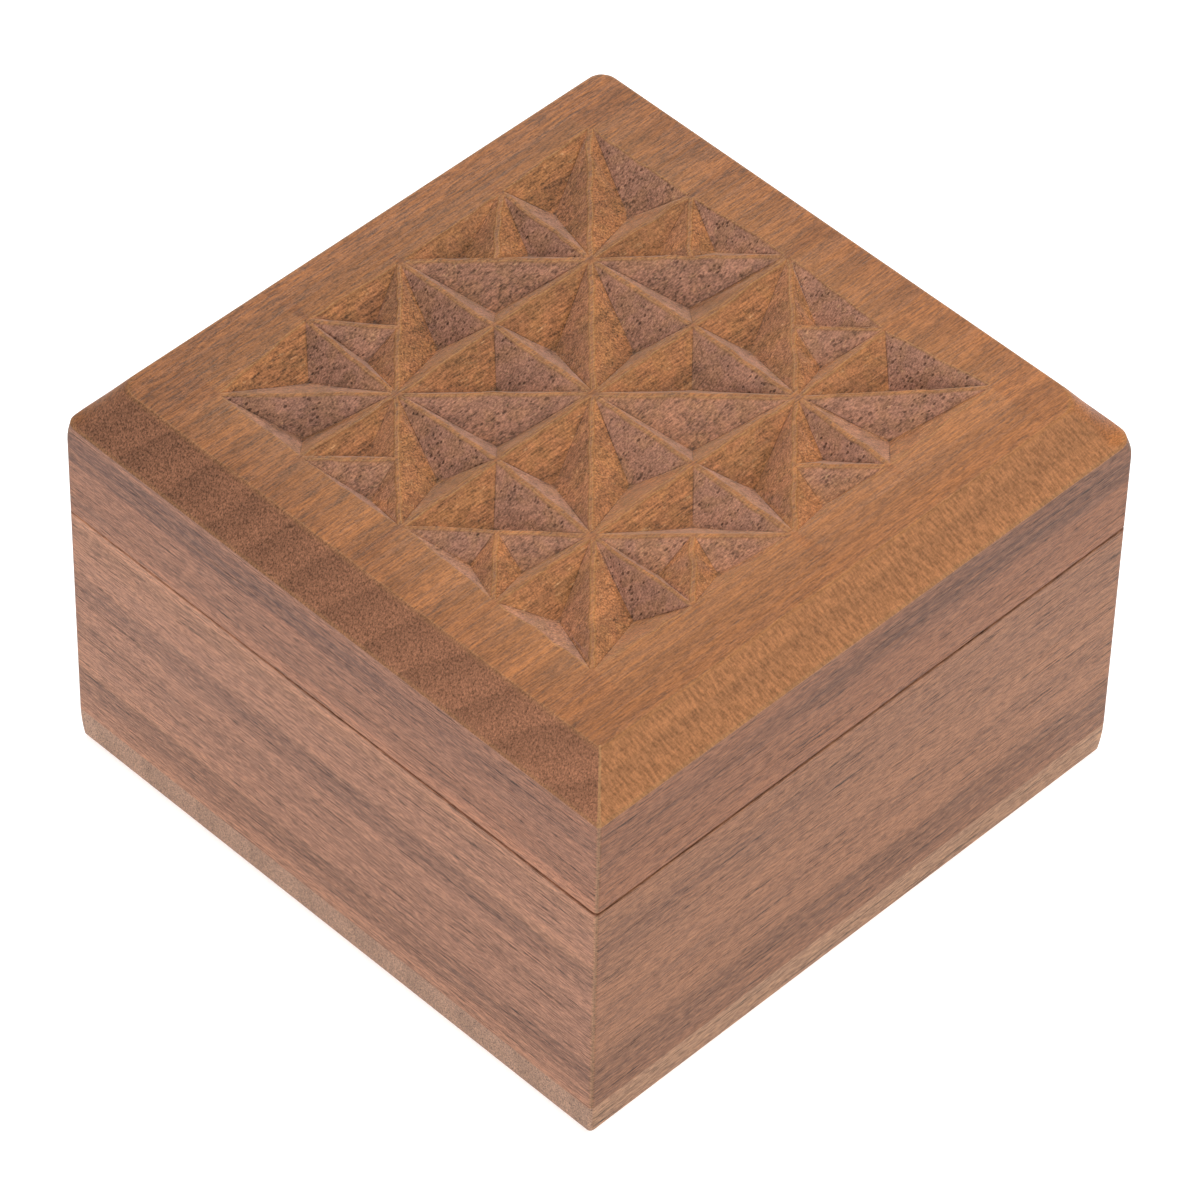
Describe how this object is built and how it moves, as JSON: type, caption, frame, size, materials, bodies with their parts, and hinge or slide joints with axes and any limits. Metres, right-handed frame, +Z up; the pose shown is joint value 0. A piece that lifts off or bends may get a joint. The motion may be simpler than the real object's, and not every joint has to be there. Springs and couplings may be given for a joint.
{
  "type": "carved wooden keepsake box",
  "caption": "Square walnut keepsake box: mitred case on a planted base, bevelled lid with a chip-carved grid of triangles, hinged at the back on brass butt hinges",
  "frame": {"origin": "middle of the underside of the base board, where the box stands", "axes": "+Z up; -Y is the front, where the lid opens; +Y is the hinged back; +X is to the right seen from the front"},
  "size_m": [0.09, 0.0934, 0.0605],
  "materials": {
    "carved_walnut": "oiled walnut, hand carved",
    "rail_walnut": "oiled walnut, planed",
    "case_walnut": "oiled walnut, planed",
    "board_walnut": "oiled walnut, planed, rounded edges",
    "hinge_brass": "satin, slightly dulled",
    "screw_brass": "satin"
  },
  "bodies": {
    "case": {"base_board": "board_walnut", "wall_front": "case_walnut", "wall_back": "case_walnut", "wall_left": "case_walnut", "wall_right": "case_walnut", "hinge_left_case_leaf": "hinge_brass", "hinge_right_case_leaf": "hinge_brass", "hinge_left_pin": "hinge_brass", "hinge_right_pin": "hinge_brass", "case_hinge_screws": "screw_brass"},
    "lid": {"lid_board": "carved_walnut", "lid_rail_front": "rail_walnut", "lid_rail_back": "rail_walnut", "lid_rail_left": "rail_walnut", "lid_rail_right": "rail_walnut", "hinge_left_lid_leaf": "hinge_brass", "hinge_right_lid_leaf": "hinge_brass", "lid_hinge_screws": "screw_brass"}
  },
  "joints": [
    {"name": "lid_hinge", "type": "hinge", "parent": "case", "child": "lid", "pos_m": [0, 0.0468, 0.0396], "axis": [-1, 0, 0], "range_deg": [0, 110]}
  ]
}
